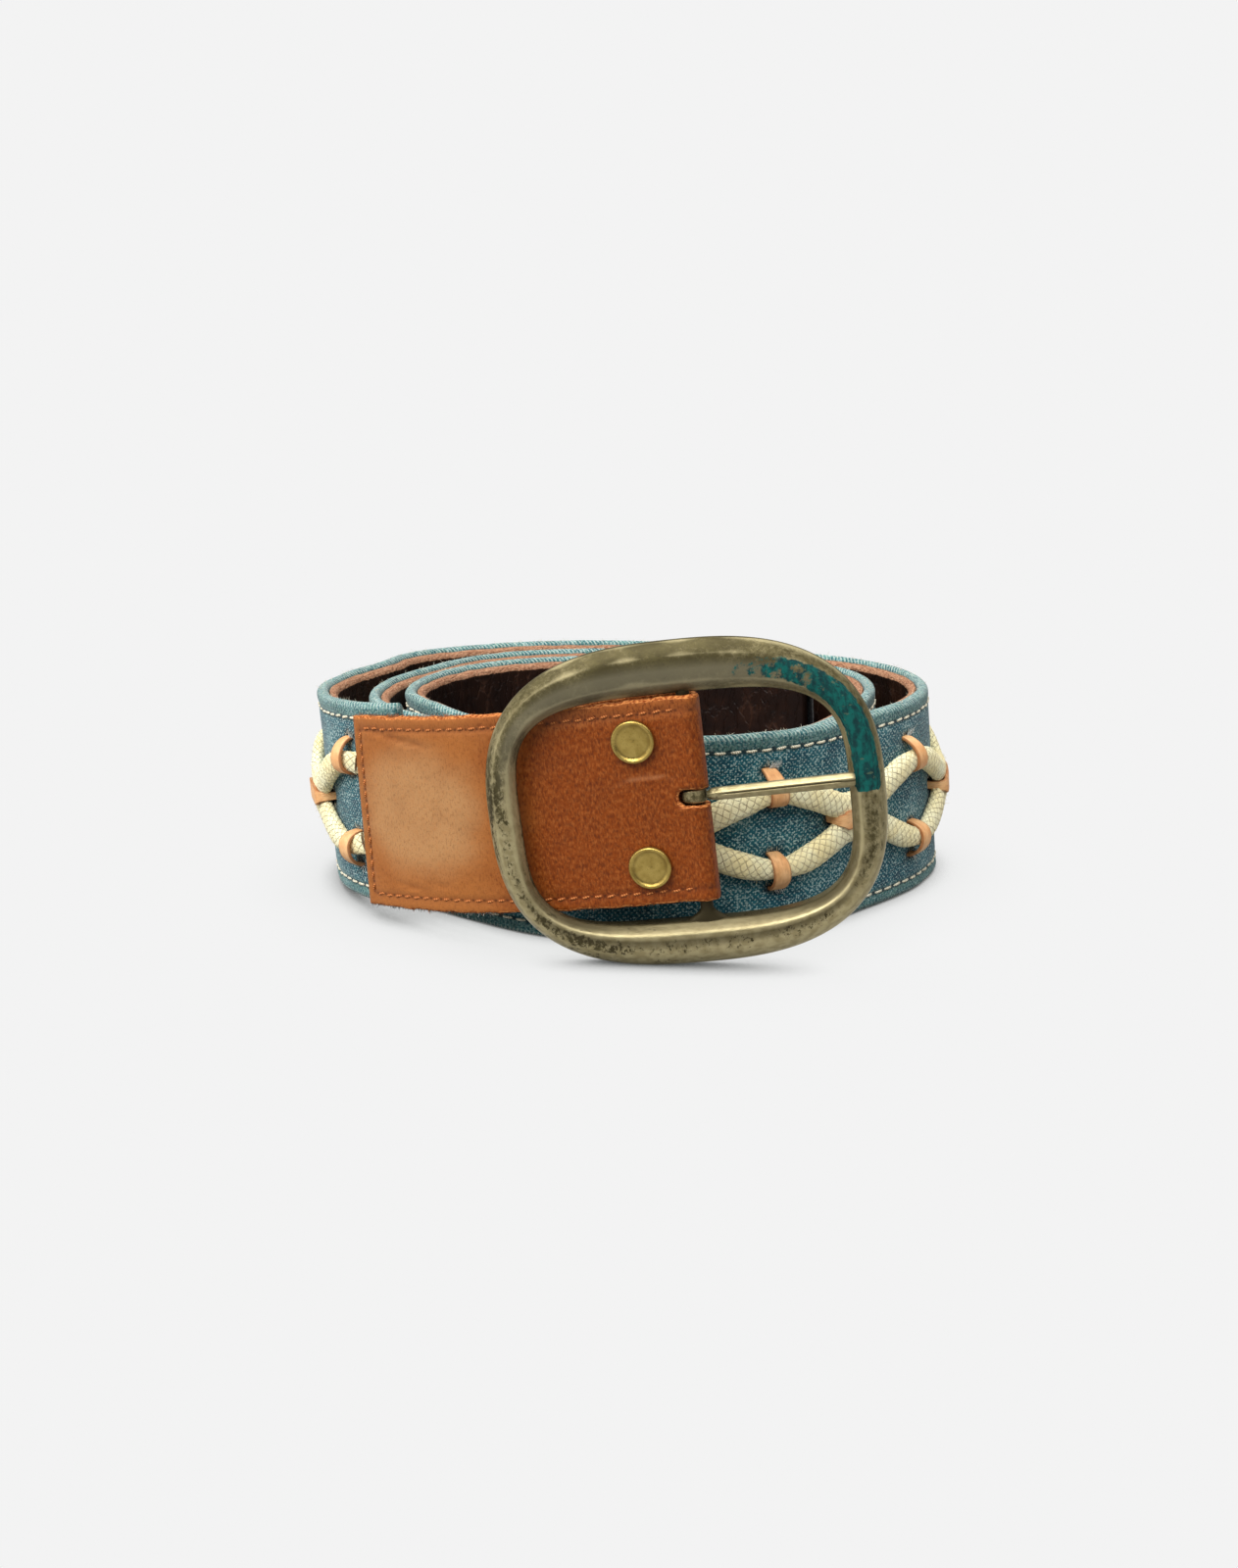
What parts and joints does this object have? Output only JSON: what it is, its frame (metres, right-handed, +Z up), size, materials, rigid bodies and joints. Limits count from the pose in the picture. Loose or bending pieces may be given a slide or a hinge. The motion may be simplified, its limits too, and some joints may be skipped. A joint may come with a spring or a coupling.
{
  "type": "denim and leather belt",
  "caption": "Wide denim belt with leather lining, laced rope trim and an oval brass prong buckle, rolled up and standing on edge.",
  "frame": {"origin": "middle of the belt's bounding box on the floor", "axes": "+Z up, the strap stands on its lower edge; the buckle faces -Y, its prong points to +X"},
  "size_m": [0.1684, 0.1477, 0.0766],
  "materials": {
    "denim": "washed blue-teal denim twill, matt",
    "lining": "dark brown leather with a raw tan edge",
    "lace": "light tan leather",
    "rope": "cream braided cotton, matt",
    "panel": "cognac leather, satin, rough cut edges",
    "rivet_brass": "bright brass",
    "patina_brass": "old brass with an olive-brown flaky patina"
  },
  "bodies": {
    "strap": {"denim_strap": "denim", "leather_lining": "lining", "leather_lacing": "lace", "rope_upper": "rope", "rope_lower": "rope", "leather_panel": "panel", "rivet_upper": "rivet_brass", "rivet_lower": "rivet_brass"},
    "frame": {"buckle_frame": "patina_brass"},
    "prong": {"buckle_prong": "patina_brass"}
  },
  "joints": [
    {"name": "frame_swing", "type": "hinge", "parent": "strap", "child": "frame", "pos_m": [0.01378, -0.06585, 0.0386], "axis": [-0.1214, 0.0106, 0.9925], "range_deg": [0, 25]},
    {"name": "prong_swing", "type": "hinge", "parent": "frame", "child": "prong", "pos_m": [0.01378, -0.06585, 0.0386], "axis": [0.1214, -0.0106, -0.9925], "range_deg": [0, 90]}
  ]
}
